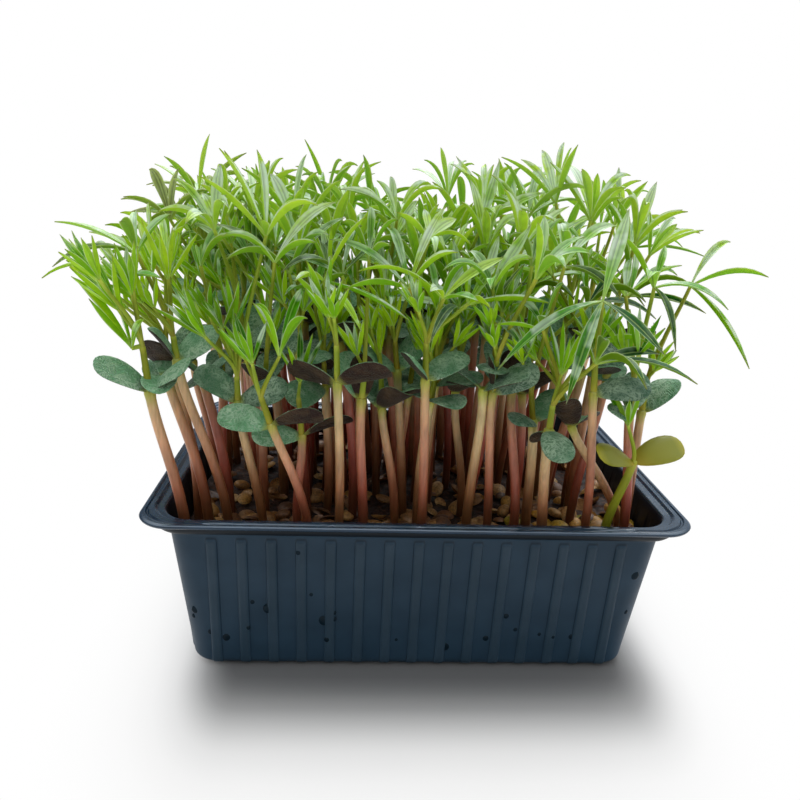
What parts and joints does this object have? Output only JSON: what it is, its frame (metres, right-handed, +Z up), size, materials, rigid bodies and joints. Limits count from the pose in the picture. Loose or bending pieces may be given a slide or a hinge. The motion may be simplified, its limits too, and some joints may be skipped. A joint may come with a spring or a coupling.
{
  "type": "lupin microgreens tray",
  "caption": "Dark ribbed plastic tray of young lupin seedlings, with pink stems, thick cotyledons and palmate leaves.",
  "frame": {"origin": "middle of the tray's flat underside", "axes": "+Z up from the surface the tray stands on, +X along the tray's long side to the right, +Y to the back"},
  "size_m": [0.2429, 0.191, 0.1843],
  "materials": {
    "tray_plastic": "satin thermoformed polystyrene, blue black",
    "growing_medium": "matte crumbly coir and peat",
    "seed_coat": "dull papery seed coat",
    "seedling": "waxy living leaf and stem, satin"
  },
  "bodies": {
    "root": {"tray": "tray_plastic", "growing_medium": "growing_medium", "seed_01": "seed_coat", "seed_02": "seed_coat", "seed_03": "seed_coat", "seed_04": "seed_coat", "seed_05": "seed_coat", "seed_06": "seed_coat", "seedling_01": "seedling", "seedling_02": "seedling", "seedling_03": "seedling", "seedling_04": "seedling", "seedling_05": "seedling", "seedling_06": "seedling", "seedling_07": "seedling", "seedling_08": "seedling", "seedling_09": "seedling", "seedling_10": "seedling", "seedling_11": "seedling", "seedling_12": "seedling", "seedling_13": "seedling", "seedling_14": "seedling", "seedling_15": "seedling", "seedling_16": "seedling", "seedling_17": "seedling", "seedling_18": "seedling", "seedling_19": "seedling", "seedling_20": "seedling", "seedling_21": "seedling", "seedling_22": "seedling", "seedling_23": "seedling", "seedling_24": "seedling", "seedling_25": "seedling", "seedling_26": "seedling", "seedling_27": "seedling", "seedling_28": "seedling", "seedling_29": "seedling", "seedling_30": "seedling", "seedling_31": "seedling", "seedling_32": "seedling", "seedling_33": "seedling", "seedling_34": "seedling", "seedling_35": "seedling", "seedling_36": "seedling", "seedling_37": "seedling", "seedling_38": "seedling", "seedling_39": "seedling", "seedling_40": "seedling", "seedling_41": "seedling", "seedling_42": "seedling", "seedling_43": "seedling", "seedling_44": "seedling"}
  },
  "joints": []
}
